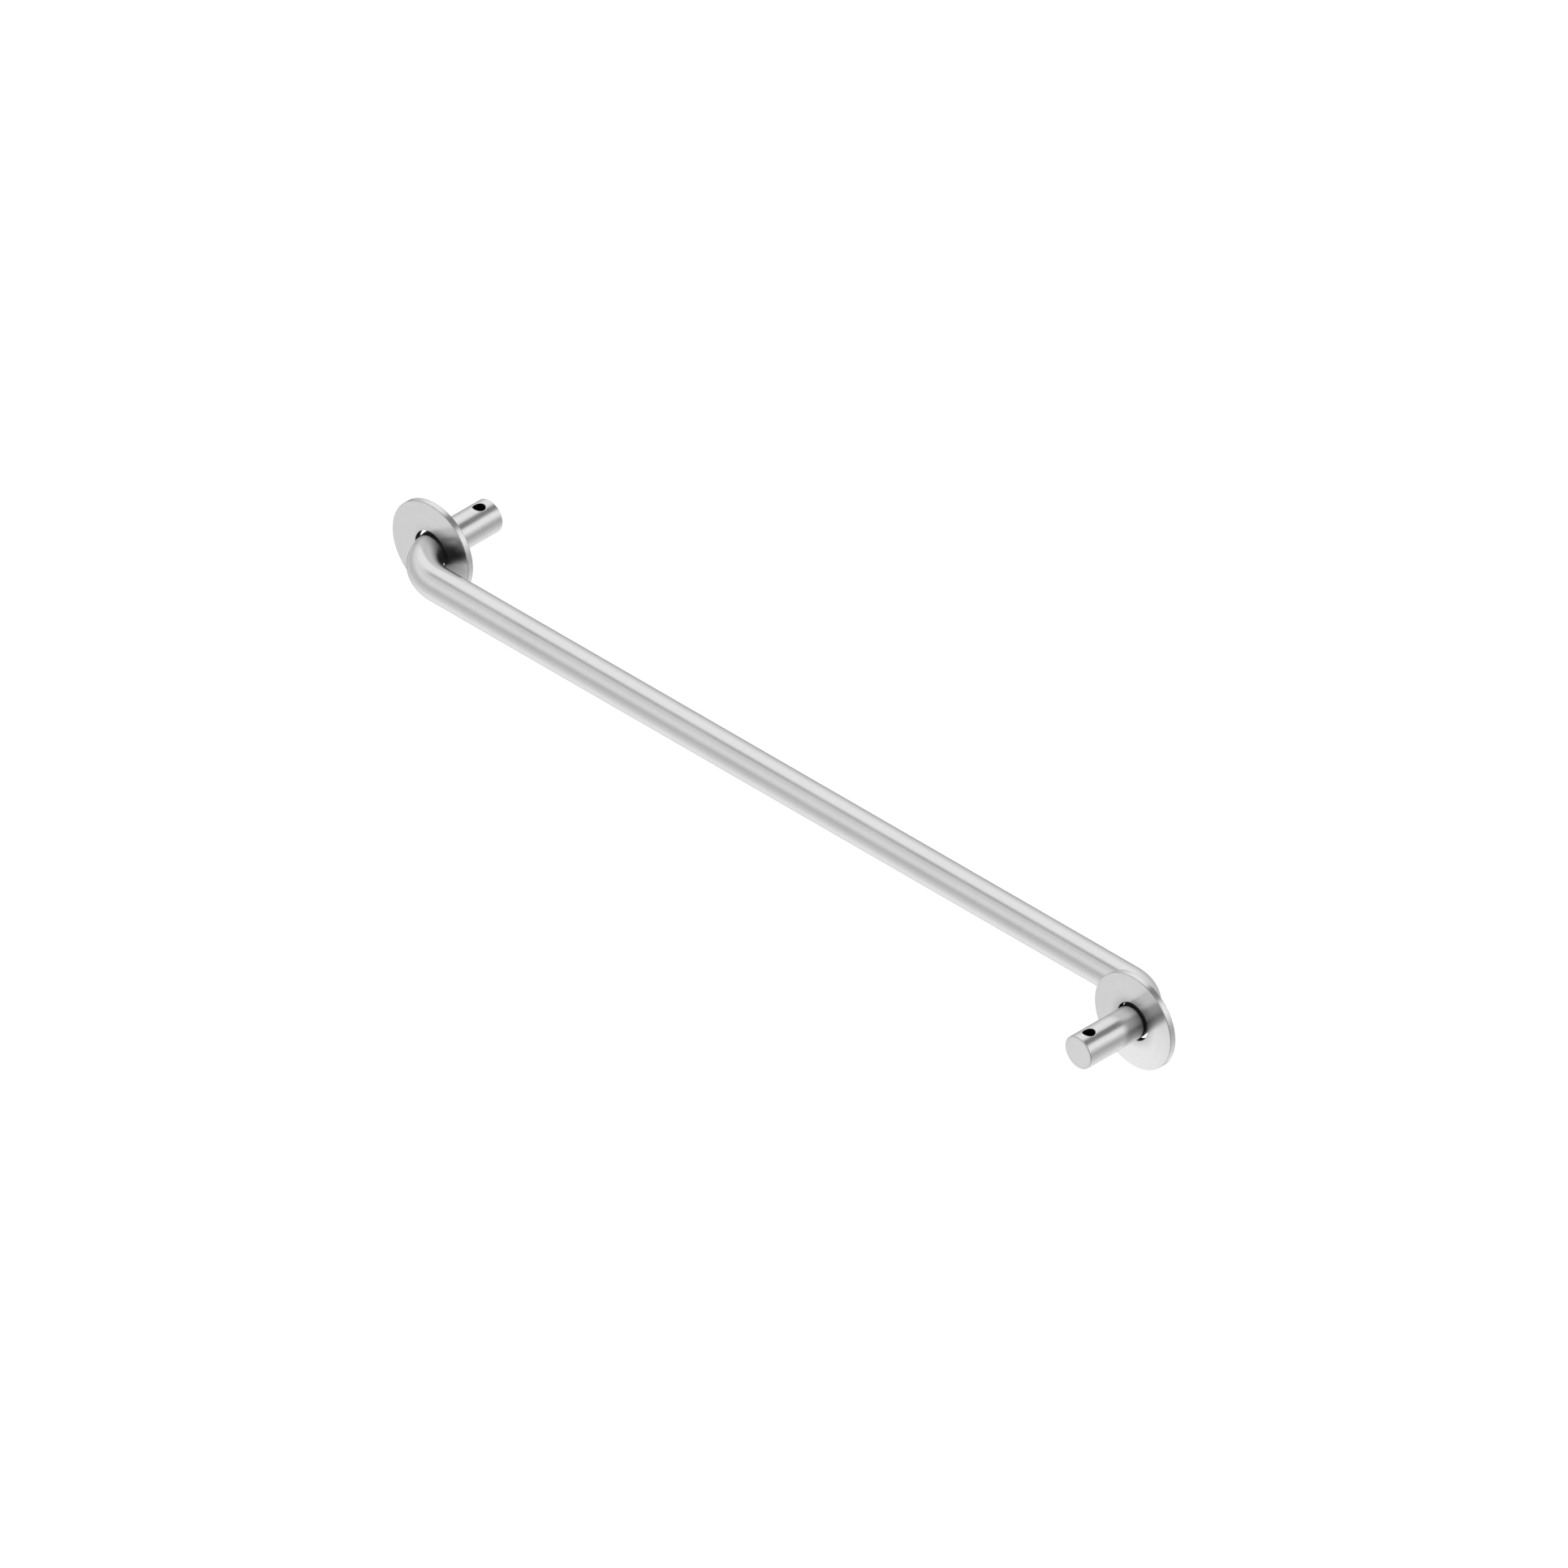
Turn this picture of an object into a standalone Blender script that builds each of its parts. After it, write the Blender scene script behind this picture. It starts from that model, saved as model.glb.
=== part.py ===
"""Z-shaped grab rail: one bent round tube with two closed legs, and a loose round flange on each leg.

Metres, +Z up. The origin is the middle of the rail, which runs along X. The left leg, at -X, points to +Y
and the right leg, at +X, points to -Y, so half a turn about Z puts each half on the other.
"""

import math

import bmesh
import bpy
from mathutils import Vector

# Tube
LEG_SPACING = 0.650           # between the axes of the two legs
LEG_LENGTH = 0.0734           # from the rail's axis to a leg's end face
TUBE_RADIUS = 0.0111
TUBE_WALL = 0.0015
BEND_RADIUS = 0.0302          # of the tube's centre line
BEND_STEPS = 10               # in each quarter turn
TUBE_BEVEL_RESOLUTION = 18    # gives 2 * 18 + 4 sides

# Hole for a locking pin, through both walls of each leg
PIN_HOLE_RADIUS = 0.004
PIN_HOLE_FROM_END = 0.0093    # from the leg's end face to the hole's axis
PIN_HOLE_SIDES = 32

# Plug that closes the end of each leg
CAP_THICKNESS = 0.003
CAP_EDGE = 0.0003             # chamfer on the plug's inner rim
CAP_SIDES = 40

# Loose flange
FLANGE_RADIUS = 0.0325
FLANGE_HOLE_RADIUS = 0.0128
FLANGE_THICKNESS = 0.0043
FLANGE_FROM_RAIL = 0.0224     # from the rail's axis to the flange's near face
FLANGE_EDGE = 0.0004          # rounding of the flange's four rims
FLANGE_EDGE_STEPS = 2
FLANGE_SIDES = 64

JOINT_GAP = 0.0003            # around a piece that is fixed in another
CUT_MARGIN = 0.005            # how far a cutter runs past what it cuts
WELD_DISTANCE = 0.00001
SHARP_ANGLE = math.radians(30)
QUARTER_TURN = math.pi / 2
SIDES = {"left": 1, "right": -1}    # the sign of Y that each leg points to


def clear_scene():
    """Remove every object that the start-up scene holds."""
    for old_object in list(bpy.data.objects):
        bpy.data.objects.remove(old_object, do_unlink=True)


def new_collection(name):
    """Make a collection under the scene's own."""
    collection = bpy.data.collections.new(name)
    bpy.context.scene.collection.children.link(collection)
    return collection


def metal(name, colour, roughness):
    """Make a plain metal material."""
    material = bpy.data.materials.new(name)
    material.use_nodes = True
    shader = material.node_tree.nodes["Principled BSDF"]
    shader.inputs["Base Color"].default_value = (*colour, 1.0)
    shader.inputs["Metallic"].default_value = 1.0
    shader.inputs["Roughness"].default_value = roughness
    return material


def add_object(name, mesh, collection):
    """Make an object of this mesh in a collection."""
    new_object = bpy.data.objects.new(name, mesh)
    collection.objects.link(new_object)
    return new_object


def add_cutter(name, mesh, collection):
    """Make an object that only cuts others: it shows as wires and isn't rendered."""
    cutter = add_object(name, mesh, collection)
    cutter.hide_render = True
    cutter.display_type = "WIRE"
    return cutter


def cut(target, cutter):
    """Take the cutter's shape out of the target."""
    modifier = target.modifiers.new("cut_" + cutter.name, "BOOLEAN")
    modifier.operation = "DIFFERENCE"
    modifier.solver = "EXACT"
    modifier.object = cutter


def shade_round(new_object, material):
    """Give an object its material, smooth round faces and crisp edges."""
    new_object.data.materials.append(material)
    new_object.data.shade_smooth()
    new_object.data.set_sharp_from_angle(angle=SHARP_ANGLE)


def centre_line(leg_length):
    """List the points of the tube's centre line, from the left leg's end to the right leg's end."""
    left_x = -LEG_SPACING / 2
    bend_centre = Vector((left_x + BEND_RADIUS, BEND_RADIUS, 0.0))
    left_half = [Vector((left_x, leg_length, 0.0))]
    for step in range(BEND_STEPS + 1):
        angle = math.pi + QUARTER_TURN * step / BEND_STEPS
        left_half.append(bend_centre + BEND_RADIUS * Vector((math.cos(angle), math.sin(angle), 0.0)))
    right_half = [Vector((-point.x, -point.y, 0.0)) for point in reversed(left_half)]
    return left_half + right_half


def swept_mesh(name, radius, leg_length):
    """Sweep a circle along the centre line and return the rod as a closed mesh."""
    points = centre_line(leg_length)
    curve = bpy.data.curves.new(name, "CURVE")
    curve.dimensions = "3D"
    curve.bevel_depth = radius
    curve.bevel_resolution = TUBE_BEVEL_RESOLUTION
    curve.use_fill_caps = True
    spline = curve.splines.new("POLY")
    spline.points.add(len(points) - 1)
    for spline_point, point in zip(spline.points, points):
        spline_point.co = (*point, 1.0)
    sweep = add_object(name + "_sweep", curve, bpy.context.scene.collection)
    evaluated = sweep.evaluated_get(bpy.context.evaluated_depsgraph_get())
    mesh = bpy.data.meshes.new_from_object(evaluated)
    bpy.data.objects.remove(sweep, do_unlink=True)

    shape = bmesh.new()
    shape.from_mesh(mesh)
    bmesh.ops.remove_doubles(shape, verts=shape.verts, dist=WELD_DISTANCE)
    bmesh.ops.recalc_face_normals(shape, faces=shape.faces)
    shape.to_mesh(mesh)
    shape.free()
    return mesh


def cylinder_mesh(name, radius, length, sides):
    """Make a closed cylinder about Z, centred on its origin."""
    mesh = bpy.data.meshes.new(name)
    shape = bmesh.new()
    bmesh.ops.create_cone(shape, cap_ends=True, segments=sides, radius1=radius, radius2=radius, depth=length)
    shape.to_mesh(mesh)
    shape.free()
    return mesh


def turned_object(name, profile, closed, sides, collection):
    """Turn a profile of (radius, height) points about Z with a Screw modifier."""
    mesh = bpy.data.meshes.new(name)
    shape = bmesh.new()
    corners = [shape.verts.new((radius, 0.0, height)) for radius, height in profile]
    for first, second in zip(corners, corners[1:]):
        shape.edges.new((first, second))
    if closed:
        shape.edges.new((corners[-1], corners[0]))
    shape.to_mesh(mesh)
    shape.free()
    turned = add_object(name, mesh, collection)
    screw = turned.modifiers.new("turn", "SCREW")
    screw.steps = sides
    screw.render_steps = sides
    screw.use_merge_vertices = True
    screw.merge_threshold = WELD_DISTANCE
    return turned


def cap_profile():
    """List the plug's section, from its outer face at height 0 to its inner face, whose rim is chamfered."""
    radius = TUBE_RADIUS - TUBE_WALL - JOINT_GAP
    return [
        (0.0, 0.0),
        (radius, 0.0),
        (radius, CAP_EDGE - CAP_THICKNESS),
        (radius - CAP_EDGE, -CAP_THICKNESS),
        (0.0, -CAP_THICKNESS),
    ]


def flange_profile():
    """List the flange's section, from its near face at height 0 to its far face, with its four rims rounded.

    The points run down the outer side and up the hole's side. Each rim is a quarter circle that starts at
    the angle given here in quarter turns.
    """
    near, far = FLANGE_EDGE, FLANGE_THICKNESS - FLANGE_EDGE
    outer, inner = FLANGE_RADIUS - FLANGE_EDGE, FLANGE_HOLE_RADIUS + FLANGE_EDGE
    rims = [(outer, far, 1), (outer, near, 0), (inner, near, -1), (inner, far, -2)]
    profile = []
    for radius, height, start in rims:
        for step in range(FLANGE_EDGE_STEPS + 1):
            angle = QUARTER_TURN * (start - step / FLANGE_EDGE_STEPS)
            profile.append((radius + FLANGE_EDGE * math.cos(angle), height + FLANGE_EDGE * math.sin(angle)))
    return profile


def on_leg(side, distance):
    """The point on a leg's axis this far from the rail's axis."""
    return Vector((-side * LEG_SPACING / 2, side * distance, 0.0))


def place_on_leg(piece, side, distance):
    """Put a piece's origin on a leg's axis, this far from the rail's axis, with its Z pointing outwards."""
    piece.location = on_leg(side, distance)
    piece.rotation_euler = (-side * QUARTER_TURN, 0.0, 0.0)


def make_tube(parts, cutters, material):
    """Make the bent tube, with its bore and the pin hole across each leg."""
    tube = add_object("rail_tube", swept_mesh("rail_tube", TUBE_RADIUS, LEG_LENGTH), parts)
    shade_round(tube, material)
    bore_mesh = swept_mesh("bore_cutter", TUBE_RADIUS - TUBE_WALL, LEG_LENGTH + CUT_MARGIN)
    cut(tube, add_cutter("bore_cutter", bore_mesh, cutters))
    hole_length = 2 * (TUBE_RADIUS + CUT_MARGIN)
    hole_mesh = cylinder_mesh("pin_hole_cutter", PIN_HOLE_RADIUS, hole_length, PIN_HOLE_SIDES)
    for name, side in SIDES.items():
        hole = add_cutter(name + "_pin_hole_cutter", hole_mesh, cutters)
        hole.location = on_leg(side, LEG_LENGTH - PIN_HOLE_FROM_END)
        cut(tube, hole)


def make_cap(name, side, parts, material):
    """Make the plug that closes one leg, flush with the leg's end."""
    cap = turned_object(name + "_end_cap", cap_profile(), False, CAP_SIDES, parts)
    shade_round(cap, material)
    place_on_leg(cap, side, LEG_LENGTH)


def make_flange(name, side, parts, material):
    """Make one loose flange, up against the tube's bend. It slides along its own Z, the leg's axis."""
    flange = turned_object(name + "_flange", flange_profile(), True, FLANGE_SIDES, parts)
    shade_round(flange, material)
    place_on_leg(flange, side, FLANGE_FROM_RAIL)


clear_scene()
grab_rail_parts = new_collection("grab_rail")
grab_rail_cutters = new_collection("grab_rail_cutters")
tube_steel = metal("tube_steel", (0.78, 0.78, 0.78), 0.28)
cap_steel = metal("cap_steel", (0.76, 0.76, 0.76), 0.32)
flange_steel = metal("flange_steel", (0.74, 0.74, 0.74), 0.30)

make_tube(grab_rail_parts, grab_rail_cutters, tube_steel)
for side_name, side_sign in SIDES.items():
    make_cap(side_name, side_sign, grab_rail_parts, cap_steel)
    make_flange(side_name, side_sign, grab_rail_parts, flange_steel)
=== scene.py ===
"""Looks of the Z-shaped grab rail: fine meshes, satin steel, a white studio and an isometric camera."""

import math

import bmesh
import bpy
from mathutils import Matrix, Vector


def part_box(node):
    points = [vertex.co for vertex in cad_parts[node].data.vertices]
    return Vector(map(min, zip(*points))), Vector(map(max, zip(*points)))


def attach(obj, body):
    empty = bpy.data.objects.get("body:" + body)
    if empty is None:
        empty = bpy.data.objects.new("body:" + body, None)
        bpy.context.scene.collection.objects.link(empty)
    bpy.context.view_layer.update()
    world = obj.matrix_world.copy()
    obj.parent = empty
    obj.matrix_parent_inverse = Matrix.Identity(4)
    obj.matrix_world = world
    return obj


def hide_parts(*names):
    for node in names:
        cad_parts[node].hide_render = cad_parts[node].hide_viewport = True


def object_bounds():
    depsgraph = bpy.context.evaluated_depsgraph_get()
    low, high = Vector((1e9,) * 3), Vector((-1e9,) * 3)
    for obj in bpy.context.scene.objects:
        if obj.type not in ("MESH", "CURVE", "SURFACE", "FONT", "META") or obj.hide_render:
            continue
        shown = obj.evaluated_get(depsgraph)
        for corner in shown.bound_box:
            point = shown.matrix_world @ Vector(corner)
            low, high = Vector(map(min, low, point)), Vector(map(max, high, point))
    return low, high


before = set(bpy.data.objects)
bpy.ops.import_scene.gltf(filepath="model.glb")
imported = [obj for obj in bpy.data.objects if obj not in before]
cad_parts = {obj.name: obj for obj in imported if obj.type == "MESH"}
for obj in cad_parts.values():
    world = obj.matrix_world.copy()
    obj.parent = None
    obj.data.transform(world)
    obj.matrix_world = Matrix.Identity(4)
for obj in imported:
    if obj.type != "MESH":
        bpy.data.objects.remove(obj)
cad_low, cad_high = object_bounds()

# Sizes in metres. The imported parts' boxes give what they can.
TUBE_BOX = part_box("rail_tube")
TUBE_RADIUS = TUBE_BOX[1].z
LEG_LENGTH = TUBE_BOX[1].y                      # from the rail's axis to a leg's end face
LEG_X = TUBE_BOX[1].x - TUBE_RADIUS             # from the middle of the rail to a leg's axis
BEND_RADIUS = 0.0302                            # of the tube's centre line
BORE_RADIUS = 0.0096
PIN_HOLE_RADIUS = 0.004
PIN_HOLE_FROM_END = 0.0093                      # from a leg's end face to the hole's axis
FLANGE_HOLE_RADIUS = 0.0128

# Roundings of the edges, and what is left beside them
TUBE_END_EDGE = 0.0005                          # where a leg's side meets its end face
PIN_HOLE_EDGE = 0.0005
FLANGE_RIM_EDGE = 0.0004
FLANGE_HOLE_EDGE = 0.0003
RIM_LINE = 0.00025                              # width of the duller line with painted edge shade on a flange's rim
CAP_SEAM = 0.00001                              # between an end cap, ground flush, and the tube round it

# Fineness of the meshes
TUBE_SIDES = 96
BEND_STEPS = 40
RAIL_STEPS = 24
TURNED_SIDES = 160
ROUND_STEPS = 5                                 # in each rounded edge
HOLE_RING_STEPS = 10                            # from a pin hole's edge out to the leg's plain rings
HOLE_RING_CROWDING = 1.5                        # above 1 the rings lie closer together near the hole
HOLE_SIDE_STEPS = 16                            # along each side of the patch that holds a pin hole
SAME_POINT = 0.000001
SHARP_ANGLE = math.radians(40)

# Places along the right half of the tube, counted from its middle while it is still straight
BEND_START = LEG_X - BEND_RADIUS
LEG_START = BEND_START + BEND_RADIUS * math.pi / 2
TUBE_END = LEG_START + LEG_LENGTH - BEND_RADIUS
HOLE_CENTRE = TUBE_END - PIN_HOLE_FROM_END
PATCH_HALF = PIN_HOLE_FROM_END - TUBE_END_EDGE  # of the faces round a pin hole, each way along the tube

SIDES = {"left": 1, "right": -1}                # the sign of Y that each leg points to

# Noise patterns: features per metre along each axis, and octaves of finer detail. In a grain coordinate the
# first and last axes go with the grain and the middle one goes across it.
FINE_GRAIN = ((90.0, 5200.0, 90.0), 2.0)
BROAD_GRAIN = ((40.0, 900.0, 40.0), 3.0)
HAIRLINES = ((2600.0, 70.0, 2600.0), 1.0)       # scratches across the grain
SMUDGES = ((38.0, 38.0, 38.0), 4.0)
EDGE_SPECKS = ((900.0, 900.0, 900.0), 2.0)
BORE_MOTTLE = ((420.0, 420.0, 420.0), 4.0)       # mottle of the tube's inside, coloured near black as painted shade
NOISE_ROUGHNESS = 0.55
NOISE_MOSTLY = (0.3, 0.7)                       # where nearly all of a noise pattern's values lie
GRAIN_RING = 0.02                               # radius of a turned piece's grain coordinates

# Satin steel. Brightness and dullness are added to a steel's tone and roughness, which are both 0 to 1.
BROAD_GRAIN_BRIGHTNESS = (-0.010, 0.010)
SMUDGE_BRIGHTNESS = (-0.012, 0.012)
FINE_GRAIN_DULLNESS = (-0.03, 0.03)
SMUDGE_DULLNESS = (-0.025, 0.035)
SCRATCH_EDGES = (0.70, 0.76)                    # noise values where a hairline scratch starts and is full
SCRATCH_DULLNESS = 0.08
SCRATCH_HEIGHT = -0.6                           # beside the fine grain's height of 0 to 1
GRAIN_DEPTH = 0.000003
GRAIN_STRENGTH = 0.35                           # share of the grain's relief that shows
EDGE_MARK_SPECKS = (0.4, 1.0)                  # how strong an edge line's dullness and painted shade are, from place to place
EDGE_PAINTED_SHADE = 0.4                          # share of its brightness that an edge line loses to painted shade
EDGE_MARK_DULLNESS = 0.10

# Crevices get painted shade. Its factor is 1 on open surfaces and falls towards 0 where neighbouring
# surfaces close in.
PAINTED_SHADE_REACH = 0.015                           # how far off a neighbouring surface starts to paint shade on the steel
OCCLUSION_SAMPLES = 8
OCCLUSION_EDGES = (0.28, 0.86)                  # what the occlusion node gives deep inside and in the open
# the painted shade's darkest factor, deep in a crevice
DARKEST_PAINTED_SHADE = 0.03
PAINTED_SHADE_METAL_EDGES = (0.05, 0.35)                      # painted shade factor where the steel is all dark unmetallic paint and where it is bare metal

# Inside of the tube: coloured near black as painted shade, mottled, dull and bumpy
BORE_PAINTED_SHADE = (0.015, 0.05)
BORE_DULLNESS = (0.55, 0.8)
BORE_METALLIC = 0.6
BORE_RELIEF_DEPTH = 0.0001
BORE_RELIEF_STRENGTH = 0.5

# Camera and studio
VIEW_DIRECTION = Vector((1.0, -1.0, 1.0))       # isometric
CAMERA_DISTANCE = 1.0
FRAME_WIDTH = 0.9486                            # of the picture, at the object
FLOOR_HEIGHT = -0.30
FLOOR_SIZE = 12.0
FLOOR_TONE = (0.9, 0.9, 0.9, 1.0)
FLOOR_ROUGHNESS = 0.9
FLOOR_GLOW = 0.45                               # lifts the floor to plain white
WHITE = (1.0, 1.0, 1.0, 1.0)
CAMERA_WHITE = 1.05                             # brightness of the background that the camera sees
LOW_LAMP_SIZE = 0.05
LOW_LAMP_DISTANCE = 0.12
LOW_LAMP_BRIGHTNESS = 0.24
LOW_LAMP_DIRECTION = Vector((1.0, 1.0, 1.0))    # the way it shines


# ---------------------------------------------------------------- mesh tools

def join_rows(shape, first, second):
    """Fill the faces between two closed rows of corners, which have the same length."""
    count = len(first)
    for index in range(count):
        after = (index + 1) % count
        shape.faces.new((first[index], first[after], second[after], second[index]))


def add_strip(shape, rows):
    """Fill the faces between neighbouring closed rows of points, which all have the same length."""
    made = [[shape.verts.new(point) for point in row] for row in rows]
    for first, second in zip(made, made[1:]):
        join_rows(shape, first, second)


def finish_mesh(name, shape, material):
    """Turn a closed shape's faces outwards and make it a smooth-shaded object."""
    mesh = bpy.data.meshes.new(name)
    bmesh.ops.recalc_face_normals(shape, faces=shape.faces)
    shape.to_mesh(mesh)
    shape.free()
    mesh.materials.append(material)
    mesh.shade_smooth()
    mesh.set_sharp_from_angle(angle=SHARP_ANGLE)
    piece = bpy.data.objects.new(name, mesh)
    bpy.context.scene.collection.objects.link(piece)
    weighted = piece.modifiers.new("weighted normals", "WEIGHTED_NORMAL")
    weighted.keep_sharp = True
    return piece


def round_turns():
    """The angles of a rounded edge, from 0 to a quarter turn."""
    return [math.pi / 2 * step / ROUND_STEPS for step in range(ROUND_STEPS + 1)]


# ---------------------------------------------------------------- tube

def bent(along, sideways, up):
    """Where a point of the straight tube goes when the tube is bent. along is counted from its middle."""
    if along < 0:
        mirrored = bent(-along, -sideways, up)
        return Vector((-mirrored.x, -mirrored.y, up))
    if along <= BEND_START:
        return Vector((along, sideways, up))
    if along <= LEG_START:
        angle = (along - BEND_START) / BEND_RADIUS
        reach = BEND_RADIUS + sideways
        return Vector((BEND_START + reach * math.sin(angle), reach * math.cos(angle) - BEND_RADIUS, up))
    return Vector((LEG_X + sideways, LEG_START - along - BEND_RADIUS, up))


def on_tube(along, angle, radius):
    """A point of the straight tube, at an angle from its top."""
    return (along, radius * math.sin(angle), radius * math.cos(angle))


def ring(along, radius):
    """One ring of the straight tube, from its top round."""
    return [on_tube(along, 2 * math.pi * side / TUBE_SIDES, radius) for side in range(TUBE_SIDES)]


def patch_outline():
    """The edge of the patch round a pin hole, as (place along from the hole's axis, angle from the top)."""
    half_sides = TUBE_SIDES // 2
    across = [math.pi * (step / half_sides - 0.5) for step in range(half_sides)]
    back = [PATCH_HALF * (1 - 2 * step / HOLE_SIDE_STEPS) for step in range(HOLE_SIDE_STEPS)]
    far_edge = [(PATCH_HALF, angle) for angle in across]
    side_edge = [(place, math.pi / 2) for place in back]
    return far_edge + side_edge + [(-place, -angle) for place, angle in far_edge + side_edge]


def heading_of(place, angle):
    """The direction from the hole's axis to a point of the patch's outline, seen from above."""
    return math.atan2(TUBE_RADIUS * angle, place)


def hole_point(heading, hole_radius, tube_radius):
    """Where a hole of this radius meets a tube of this radius in one heading, as (place, angle)."""
    return hole_radius * math.cos(heading), math.asin(hole_radius * math.sin(heading) / tube_radius)


def patch_rows(tube_radius, hole_radius):
    """Rows of points from the pin hole out to its patch's outline, close together near the hole."""
    rows = []
    for step in range(HOLE_RING_STEPS + 1):
        share = (step / HOLE_RING_STEPS) ** HOLE_RING_CROWDING
        row = []
        for place, angle in patch_outline():
            near_place, near_angle = hole_point(heading_of(place, angle), hole_radius, tube_radius)
            row.append(on_tube(
                HOLE_CENTRE + near_place + share * (place - near_place),
                near_angle + share * (angle - near_angle),
                tube_radius,
            ))
        rows.append(row)
    return rows


def hole_wall_rows():
    """Rows of points from the outside over the pin hole's rounded edge and down its wall to the bore."""
    headings = [heading_of(place, angle) for place, angle in patch_outline()]
    rows = []
    for turn in round_turns():
        radius = PIN_HOLE_RADIUS + PIN_HOLE_EDGE * (1 - math.sin(turn))
        row = []
        for heading in headings:
            place, angle = hole_point(heading, radius, TUBE_RADIUS)
            along, sideways, up = on_tube(HOLE_CENTRE + place, angle, TUBE_RADIUS)
            row.append((along, sideways, up - PIN_HOLE_EDGE * (1 - math.cos(turn))))
        rows.append(row)
    bore_row = []
    for heading in headings:
        place, angle = hole_point(heading, PIN_HOLE_RADIUS, BORE_RADIUS)
        bore_row.append(on_tube(HOLE_CENTRE + place, angle, BORE_RADIUS))
    return rows + [bore_row]


def side_rows(radius):
    """Rings of one surface of the straight tube, from its middle to the pin hole's patch."""
    rail = [BEND_START * step / RAIL_STEPS for step in range(RAIL_STEPS)]
    turn = [BEND_START + (LEG_START - BEND_START) * step / BEND_STEPS for step in range(BEND_STEPS)]
    stations = rail + turn + [LEG_START, HOLE_CENTRE - PATCH_HALF]
    return [ring(along, radius) for along in stations]


def end_rows():
    """Rings from the outside over the leg's rounded rim and its end face into the bore."""
    rim = HOLE_CENTRE + PATCH_HALF
    rows = []
    for turn in round_turns():
        radius = TUBE_RADIUS - TUBE_END_EDGE * (1 - math.cos(turn))
        rows.append(ring(rim + TUBE_END_EDGE * math.sin(turn), radius))
    return rows + [ring(TUBE_END, BORE_RADIUS), ring(rim, BORE_RADIUS)]


def add_half_tube(shape, half):
    """Add one half of the straight tube to a shape: half is 1 for the right one and -1 for the left."""
    around_hole = [
        patch_rows(TUBE_RADIUS, PIN_HOLE_RADIUS + PIN_HOLE_EDGE),
        hole_wall_rows(),
        patch_rows(BORE_RADIUS, PIN_HOLE_RADIUS),
    ]
    under_hole = [[[(a, -s, -u) for a, s, u in row] for row in rows] for rows in around_hole]
    for rows in [side_rows(TUBE_RADIUS), side_rows(BORE_RADIUS), end_rows()] + around_hole + under_hole:
        add_strip(shape, [[(half * a, half * s, u) for a, s, u in row] for row in rows])


def dull_shaded_edge_on_tube(place):
    """How much a point of the straight tube is duller and darkened by painted edge shade: 1 within the
    rounded edges of its ends.
    """
    depth = TUBE_RADIUS - math.hypot(place.y, place.z)
    from_end = TUBE_END - abs(place.x)
    return 1.0 if max(depth, from_end) < TUBE_END_EDGE - SAME_POINT else 0.0


def is_bore(grain):
    """Whether a point with this grain coordinate is on the tube's bore."""
    return math.hypot(grain.x, grain.z) < BORE_RADIUS + SAME_POINT


def make_tube(steel, bore_shade_paint):
    """Make the tube straight, keep where each point was as its grain coordinate, and bend it.

    Grain runs round the tube. So in a grain coordinate X and Z go with the grain and Y goes across it.
    """
    shape = bmesh.new()
    for half in (1, -1):
        add_half_tube(shape, half)
    bmesh.ops.remove_doubles(shape, verts=shape.verts, dist=SAME_POINT)
    grain = shape.verts.layers.float_vector.new("grain")
    # rounded end edges: duller, and darkened by painted edge shade
    dull_shaded_edge = shape.verts.layers.float.new("dull_shaded_edge")
    for vert in shape.verts:
        along, sideways, up = vert.co
        vert[grain] = (sideways, along, up)
        vert[dull_shaded_edge] = dull_shaded_edge_on_tube(vert.co)
        vert.co = bent(along, sideways, up)
    for face in shape.faces:
        face.material_index = int(all(is_bore(vert[grain]) for vert in face.verts))
    tube = finish_mesh("rail", shape, steel)
    tube.data.materials.append(bore_shade_paint)
    return tube


# ---------------------------------------------------------------- turned pieces

def turned_mesh(name, profile, side, start, material):
    """Turn a closed profile of (radius, distance out, share of dullness and painted edge shade) points
    about a leg's axis.

    Distances are counted outwards from start, which is itself counted from the rail's axis. A profile whose
    first and last points lie on the axis makes a disc, and any other makes a ring.
    """
    solid = profile[0][0] == 0.0
    shape = bmesh.new()
    # duller edges, darkened by painted edge shade
    dull_shaded_edge = shape.verts.layers.float.new("dull_shaded_edge")
    grain = shape.verts.layers.float_vector.new("grain")
    rows = []
    for radius, distance, share in profile:
        row = []
        for step in range(TURNED_SIDES):
            angle = 2 * math.pi * step / TURNED_SIDES
            out = side * (start + distance)
            vert = shape.verts.new((radius * math.cos(angle) - side * LEG_X, out, radius * math.sin(angle)))
            vert[dull_shaded_edge] = share
            vert[grain] = (GRAIN_RING * math.cos(angle), radius - distance, GRAIN_RING * math.sin(angle))
            row.append(vert)
        rows.append(row)
    following = rows[1:] if solid else rows[1:] + rows[:1]
    for first, second in zip(rows, following):
        join_rows(shape, first, second)
    bmesh.ops.remove_doubles(shape, verts=shape.verts, dist=SAME_POINT)
    return finish_mesh(name, shape, material)


def make_cap(name, side, material):
    """Make the plug that closes one leg, flush with the tube's end face."""
    low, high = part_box(name + "_end_cap")
    thickness = high.y - low.y
    radius = BORE_RADIUS - CAP_SEAM
    profile = [(0.0, thickness, 0.0), (radius, thickness, 0.0), (radius, 0.0, 0.0), (0.0, 0.0, 0.0)]
    return turned_mesh(name + "_cap", profile, side, LEG_LENGTH - thickness, material)


def rounded_corner(middle, distance, edge, quarter):
    """The points of a flange's rounded corner, as (radius, distance out, share of dullness and painted edge
    shade).

    They turn back from the angle given in quarter turns. The end that meets the flange's face has no
    dullness or painted edge shade.
    """
    angles = [math.pi / 2 * quarter - turn for turn in round_turns()]
    points = [(middle + edge * math.cos(angle), distance + edge * math.sin(angle), 1.0) for angle in angles]
    on_face = 0 if quarter % 2 else -1
    points[on_face] = (*points[on_face][:2], 0.0)
    return points


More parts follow.
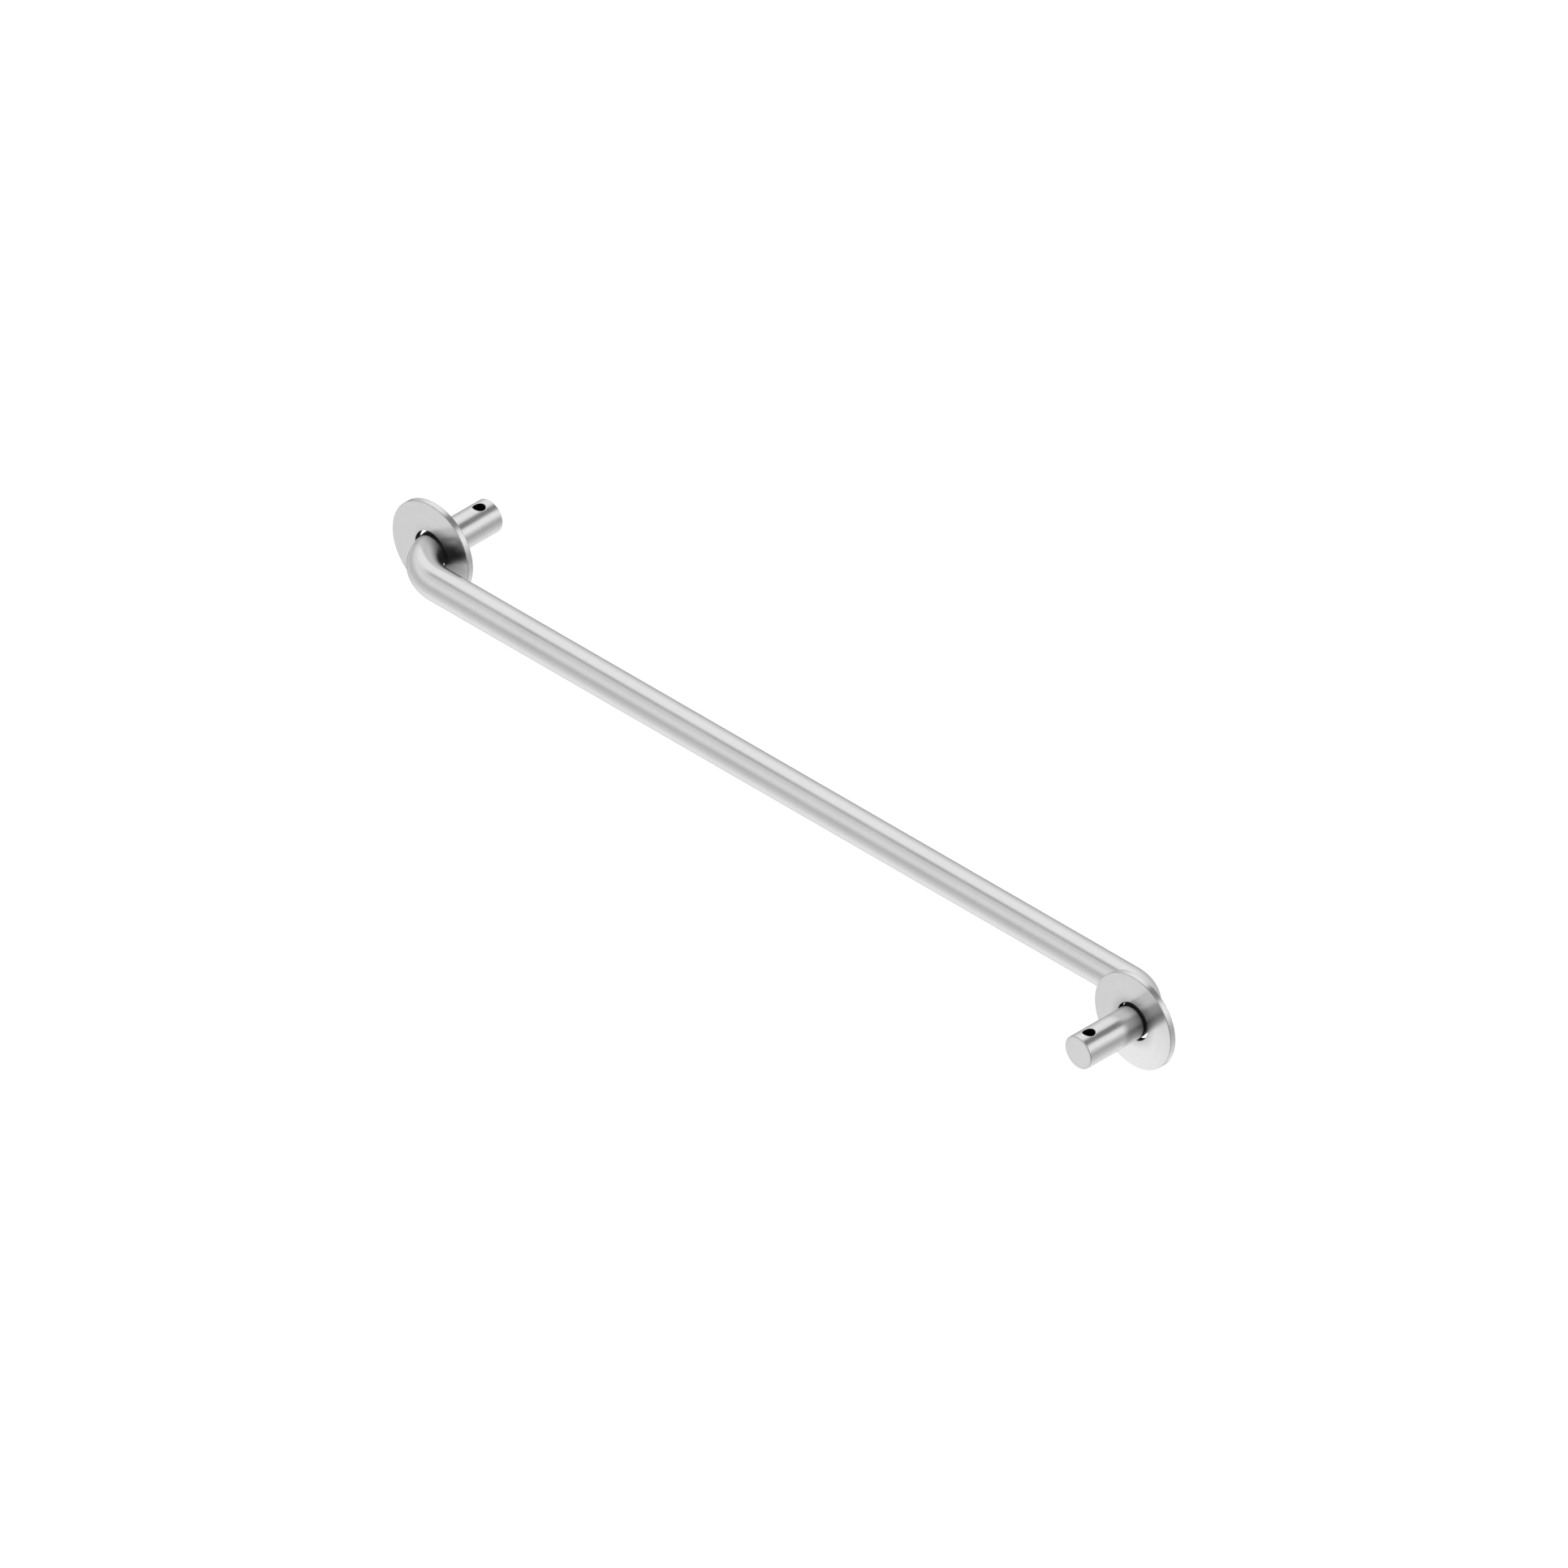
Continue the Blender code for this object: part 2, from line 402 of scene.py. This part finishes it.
def make_flange(name, side, material):
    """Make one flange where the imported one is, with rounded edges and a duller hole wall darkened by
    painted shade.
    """
    low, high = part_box(name + "_flange")
    start = min(abs(low.y), abs(high.y))
    thickness = high.y - low.y
    rim_radius = high.z
    rim_middle = rim_radius - FLANGE_RIM_EDGE
    rim_far = thickness - FLANGE_RIM_EDGE
    hole_middle = FLANGE_HOLE_RADIUS + FLANGE_HOLE_EDGE
    profile = (
        rounded_corner(rim_middle, rim_far, FLANGE_RIM_EDGE, 1)
        + [(rim_radius, rim_far - RIM_LINE, 0.0), (rim_radius, FLANGE_RIM_EDGE + RIM_LINE, 0.0)]
        + rounded_corner(rim_middle, FLANGE_RIM_EDGE, FLANGE_RIM_EDGE, 0)
        + rounded_corner(hole_middle, FLANGE_HOLE_EDGE, FLANGE_HOLE_EDGE, -1)
        + rounded_corner(hole_middle, thickness - FLANGE_HOLE_EDGE, FLANGE_HOLE_EDGE, -2)
    )
    return turned_mesh(name + "_escutcheon", profile, side, start, material)


# ---------------------------------------------------------------- materials

def add_node(tree, kind, inputs=None, **settings):
    """Add a node with these settings. An input is a value or another node's output."""
    node = tree.nodes.new(kind)
    for name, value in settings.items():
        setattr(node, name, value)
    for name, value in (inputs or {}).items():
        if isinstance(value, bpy.types.NodeSocket):
            tree.links.new(value, node.inputs[name])
        else:
            node.inputs[name].default_value = value
    return node


def scaled(tree, vector, scale):
    """A vector multiplied by a scale for each axis."""
    return add_node(tree, "ShaderNodeVectorMath", {0: vector, 1: scale}, operation="MULTIPLY").outputs[0]


def noise(tree, vector, pattern):
    """A noise pattern from 0 to 1 over a vector."""
    scale, detail = pattern
    inputs = {
        "Vector": scaled(tree, vector, scale),
        "Scale": 1.0,
        "Detail": detail,
        "Roughness": NOISE_ROUGHNESS,
    }
    return add_node(tree, "ShaderNodeTexNoise", inputs).outputs["Fac"]


def math_node(tree, operation, *values):
    """The result of a math node."""
    return add_node(tree, "ShaderNodeMath", dict(enumerate(values)), operation=operation).outputs[0]


def mapped(tree, value, edges, limits=(0.0, 1.0)):
    """A value between two edges, clamped and moved to between two limits."""
    inputs = {
        "Value": value,
        "From Min": edges[0],
        "From Max": edges[1],
        "To Min": limits[0],
        "To Max": limits[1],
    }
    return add_node(tree, "ShaderNodeMapRange", inputs).outputs["Result"]


def spread(tree, value, limits):
    """A noise value spread over the whole stretch between two limits."""
    return mapped(tree, value, NOISE_MOSTLY, limits)


def grey(tree, brightness):
    """A grey of this brightness."""
    inputs = {0: brightness, 1: brightness, 2: brightness}
    return add_node(tree, "ShaderNodeCombineColor", inputs).outputs["Color"]


def painted_crevice_shade(tree):
    """Painted shade factor: 1 on open surfaces, falling to nearly 0 deep in the gap between a leg and its
    flange.
    """
    reach = {"Distance": PAINTED_SHADE_REACH}
    occlusion = add_node(tree, "ShaderNodeAmbientOcclusion", reach, samples=OCCLUSION_SAMPLES)
    return mapped(tree, occlusion.outputs["AO"], OCCLUSION_EDGES, (DARKEST_PAINTED_SHADE, 1.0))


def new_shader(name):
    """Make a material and return it with its Principled shader."""
    material = bpy.data.materials.new(name)
    material.use_nodes = True
    return material, material.node_tree.nodes["Principled BSDF"]


def add_relief(tree, shader, height, strength, depth):
    """Give a shader bumps of this height, which is from 0 to 1 and is multiplied by the depth."""
    bump = add_node(tree, "ShaderNodeBump", {"Height": height, "Strength": strength, "Distance": depth})
    tree.links.new(bump.outputs["Normal"], shader.inputs["Normal"])


def satin_steel(name, tone, roughness):
    """Satin stainless steel: fine grain, soft smudges and sparse hairline scratches.

    It is duller and darkened by painted edge shade on rounded edges and hole walls, and painted shade turns
    it black deep in crevices.
    """
    material, shader = new_shader(name)
    tree = material.node_tree
    grain = add_node(tree, "ShaderNodeAttribute", attribute_name="grain").outputs["Vector"]
    place = add_node(tree, "ShaderNodeTexCoord").outputs["Object"]
    fine_grain = noise(tree, grain, FINE_GRAIN)
    broad_grain = noise(tree, grain, BROAD_GRAIN)
    smudges = noise(tree, place, SMUDGES)
    scratches = mapped(tree, noise(tree, grain, HAIRLINES), SCRATCH_EDGES)
    specks = spread(tree, noise(tree, place, EDGE_SPECKS), EDGE_MARK_SPECKS)
    edge_lines = add_node(tree, "ShaderNodeAttribute", attribute_name="dull_shaded_edge").outputs["Fac"]
    dull_shaded_edge = math_node(tree, "MULTIPLY", edge_lines, specks)
    # clear is the painted shade factor of crevices: it darkens the colour and, deep in, takes away the
    # metal
    clear = painted_crevice_shade(tree)

    brightness = math_node(tree, "ADD", spread(tree, broad_grain, BROAD_GRAIN_BRIGHTNESS), tone)
    brightness = math_node(tree, "ADD", brightness, spread(tree, smudges, SMUDGE_BRIGHTNESS))
    # painted edge shade: edge lines lose part of their brightness
    painted_edge_shade = math_node(tree, "MULTIPLY_ADD", dull_shaded_edge, -EDGE_PAINTED_SHADE, 1.0)
    brightness = math_node(tree, "MULTIPLY", brightness, painted_edge_shade)
    # painted shade in crevices
    brightness = math_node(tree, "MULTIPLY", brightness, clear)
    tree.links.new(grey(tree, brightness), shader.inputs["Base Color"])

    dullness = math_node(tree, "ADD", spread(tree, fine_grain, FINE_GRAIN_DULLNESS), roughness)
    dullness = math_node(tree, "ADD", dullness, spread(tree, smudges, SMUDGE_DULLNESS))
    dullness = math_node(tree, "MULTIPLY_ADD", scratches, SCRATCH_DULLNESS, dullness)
    dullness = math_node(tree, "MULTIPLY_ADD", dull_shaded_edge, EDGE_MARK_DULLNESS, dullness)
    tree.links.new(dullness, shader.inputs["Roughness"])

    relief = math_node(tree, "MULTIPLY_ADD", scratches, SCRATCH_HEIGHT, fine_grain)
    add_relief(tree, shader, relief, GRAIN_STRENGTH, GRAIN_DEPTH)
    # painted shade: deep in crevices the steel turns to dark paint with no metal and no shine
    tree.links.new(mapped(tree, clear, PAINTED_SHADE_METAL_EDGES), shader.inputs["Metallic"])
    shader.inputs["Specular IOR Level"].default_value = 0.0
    return material


def bore_painted_dark(name):
    """The inside of the tube: coloured near black as painted shade, mottled, dull and bumpy."""
    material, shader = new_shader(name)
    tree = material.node_tree
    place = add_node(tree, "ShaderNodeTexCoord").outputs["Object"]
    scale = noise(tree, place, BORE_MOTTLE)
    # painted shade: the inside of the tube is coloured near black
    tree.links.new(grey(tree, spread(tree, scale, BORE_PAINTED_SHADE)), shader.inputs["Base Color"])
    tree.links.new(spread(tree, scale, BORE_DULLNESS), shader.inputs["Roughness"])
    add_relief(tree, shader, scale, BORE_RELIEF_STRENGTH, BORE_RELIEF_DEPTH)
    shader.inputs["Metallic"].default_value = BORE_METALLIC
    return material


# ---------------------------------------------------------------- studio

# Soft panels and flags of the studio, placed by trial. In degrees: the azimuth (from +X towards +Y) and the
# elevation of the middle, and the angles from it where the panel starts and finishes fading. Last is the
# light that it adds.
STUDIO_PANELS = [
    (150, 48, 8, 34, 0.14),     # bright overhead panel behind the rail
    (68, 52, 5, 22, -0.59),     # dark flag overhead, behind the right end
    (-165, 54, 2, 12, -0.27),   # narrow dark flag overhead, in front of the left end
    (-150, 48, 5, 24, -0.11),   # wide faint flag round the narrow one
    (38, 14, 8, 30, 0.16),      # bright panel to the right
    (48, -26, 10, 50, -0.18),   # darker floor to the right
    (-45, 35, 10, 35, -0.44),   # dark camera side: seen from there, rounded edges and narrow gaps mirror it
    (-45, -25, 15, 50, -0.42),  # the same below
    (135, -35, 12, 28, -0.42),  # darker floor behind the object, which its outlines mirror
    (60, 84, 8, 28, -0.42),     # overhead flag: from the camera, flanges mirror it by way of the bends
]

# Light from the floor and walls: sine of the elevation, brightness
STUDIO_HEIGHTS = [
    (-1.0, 1.4),
    (-0.86, 0.95),
    (-0.75, 0.92),
    (-0.5, 0.74),
    (-0.25, 0.62),
    (-0.03, 0.55),
    (0.12, 0.66),
    (0.3, 0.81),
    (0.55, 0.82),
    (1.0, 0.80),
]
NEW_STOP = 0.5                                  # where a colour ramp's new stop goes before it is placed


def direction_of(azimuth, elevation):
    """The unit vector of a direction given in degrees."""
    azimuth, elevation = math.radians(azimuth), math.radians(elevation)
    level = math.cos(elevation)
    return (level * math.cos(azimuth), level * math.sin(azimuth), math.sin(elevation))


def wall_light(tree, direction):
    """The light that comes from the floor and walls in a direction."""
    height = add_node(tree, "ShaderNodeSeparateXYZ", {0: direction}).outputs["Z"]
    height = add_node(tree, "ShaderNodeMapRange", {"Value": height, "From Min": -1.0}).outputs["Result"]
    walls = add_node(tree, "ShaderNodeValToRGB", {0: height})
    ramp = walls.color_ramp
    ramp.interpolation = "EASE"
    while len(ramp.elements) < len(STUDIO_HEIGHTS):
        ramp.elements.new(NEW_STOP)
    for element, (sine, brightness) in zip(ramp.elements, STUDIO_HEIGHTS):
        element.position = (sine + 1) / 2
        element.color = (brightness, brightness, brightness, 1.0)
    return walls.outputs["Color"]


def panel_share(tree, direction, azimuth, elevation, inner, outer):
    """How far within a soft panel a direction is: 1 in its middle, fading to 0 between two angles."""
    pair = {0: direction, 1: direction_of(azimuth, elevation)}
    nearness = add_node(tree, "ShaderNodeVectorMath", pair, operation="DOT_PRODUCT")
    fade = add_node(tree, "ShaderNodeMapRange", {
        "Value": nearness.outputs["Value"],
        "From Min": math.cos(math.radians(outer)),
        "From Max": math.cos(math.radians(inner)),
    }, interpolation_type="SMOOTHERSTEP")
    return fade.outputs["Result"]


def make_studio_light():
    """Light the object with a white studio's soft walls, panels and flags. The camera sees plain white."""
    world = bpy.data.worlds.new("studio")
    bpy.context.scene.world = world
    world.use_nodes = True
    tree = world.node_tree
    tree.nodes.clear()
    direction = add_node(tree, "ShaderNodeTexCoord").outputs["Generated"]
    light = wall_light(tree, direction)
    for azimuth, elevation, inner, outer, strength in STUDIO_PANELS:
        panel = panel_share(tree, direction, azimuth, elevation, inner, outer)
        light = math_node(tree, "MULTIPLY_ADD", panel, strength, light)
    studio = add_node(tree, "ShaderNodeBackground", {"Color": light, "Strength": 1.0})
    white = add_node(tree, "ShaderNodeBackground", {"Color": WHITE, "Strength": CAMERA_WHITE})
    seen = add_node(tree, "ShaderNodeLightPath").outputs["Is Camera Ray"]
    mixed = add_node(tree, "ShaderNodeMixShader", {0: seen, 1: studio.outputs[0], 2: white.outputs[0]})
    add_node(tree, "ShaderNodeOutputWorld", {"Surface": mixed.outputs[0]})


def make_low_lamp():
    """Put a small soft lamp low in front of the right flange, whose lower face reflects it."""
    data = bpy.data.lights.new("low_lamp", "AREA")
    data.shape = "DISK"
    data.size = LOW_LAMP_SIZE
    area = math.pi * (LOW_LAMP_SIZE / 2) ** 2
    data.energy = math.pi * area * LOW_LAMP_BRIGHTNESS
    lamp = bpy.data.objects.new("low_lamp", data)
    flange_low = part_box("right_flange")[0]
    lit_spot = Vector((LEG_X, flange_low.y, flange_low.z))
    lamp.location = lit_spot - LOW_LAMP_DISTANCE * LOW_LAMP_DIRECTION.normalized()
    lamp.rotation_mode = "QUATERNION"
    lamp.rotation_quaternion = LOW_LAMP_DIRECTION.to_track_quat("-Z", "Y")
    lamp.visible_camera = False
    bpy.context.scene.collection.objects.link(lamp)


def make_floor():
    """Make the plain white floor, far enough below to show no shadow."""
    mesh = bpy.data.meshes.new("floor")
    shape = bmesh.new()
    bmesh.ops.create_grid(shape, x_segments=1, y_segments=1, size=FLOOR_SIZE / 2)
    shape.to_mesh(mesh)
    shape.free()
    material, shader = new_shader("white_floor")
    shader.inputs["Base Color"].default_value = FLOOR_TONE
    shader.inputs["Roughness"].default_value = FLOOR_ROUGHNESS
    shader.inputs["Emission Color"].default_value = WHITE
    shader.inputs["Emission Strength"].default_value = FLOOR_GLOW
    mesh.materials.append(material)
    floor = bpy.data.objects.new("floor", mesh)
    floor.location.z = FLOOR_HEIGHT
    floor.visible_glossy = False
    floor.visible_diffuse = False
    bpy.context.scene.collection.objects.link(floor)


def make_camera():
    """Look at the middle of the object along the isometric direction, with no perspective."""
    data = bpy.data.cameras.new("camera")
    data.type = "ORTHO"
    data.ortho_scale = FRAME_WIDTH
    camera = bpy.data.objects.new("camera", data)
    back = VIEW_DIRECTION.normalized()
    camera.location = (cad_low + cad_high) / 2 + CAMERA_DISTANCE * back
    camera.rotation_mode = "QUATERNION"
    camera.rotation_quaternion = (-back).to_track_quat("-Z", "Y")
    bpy.context.scene.collection.objects.link(camera)
    bpy.context.scene.camera = camera


# ---------------------------------------------------------------- the object

def stand_for(piece, body, slot, *nodes):
    """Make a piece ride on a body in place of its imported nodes."""
    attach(piece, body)
    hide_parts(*nodes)


make_camera()
make_floor()
make_studio_light()
make_low_lamp()
bpy.context.scene.view_settings.view_transform = "Standard"

tube_steel = satin_steel("tube_steel", tone=0.80, roughness=0.20)
cap_steel = satin_steel("cap_steel", tone=0.85, roughness=0.22)
flange_steel = satin_steel("flange_steel", tone=0.82, roughness=0.21)

# the tube's inside gets a near-black material that paints its shade
stand_for(make_tube(tube_steel, bore_painted_dark("bore_shade_paint")), "rail", "tube_steel", "rail_tube")
for side_name, side_sign in SIDES.items():
    cap = make_cap(side_name, side_sign, cap_steel)
    stand_for(cap, "rail", "cap_steel", side_name + "_end_cap")
    flange = make_flange(side_name, side_sign, flange_steel)
    stand_for(flange, side_name + "_flange", "flange_steel", side_name + "_flange")
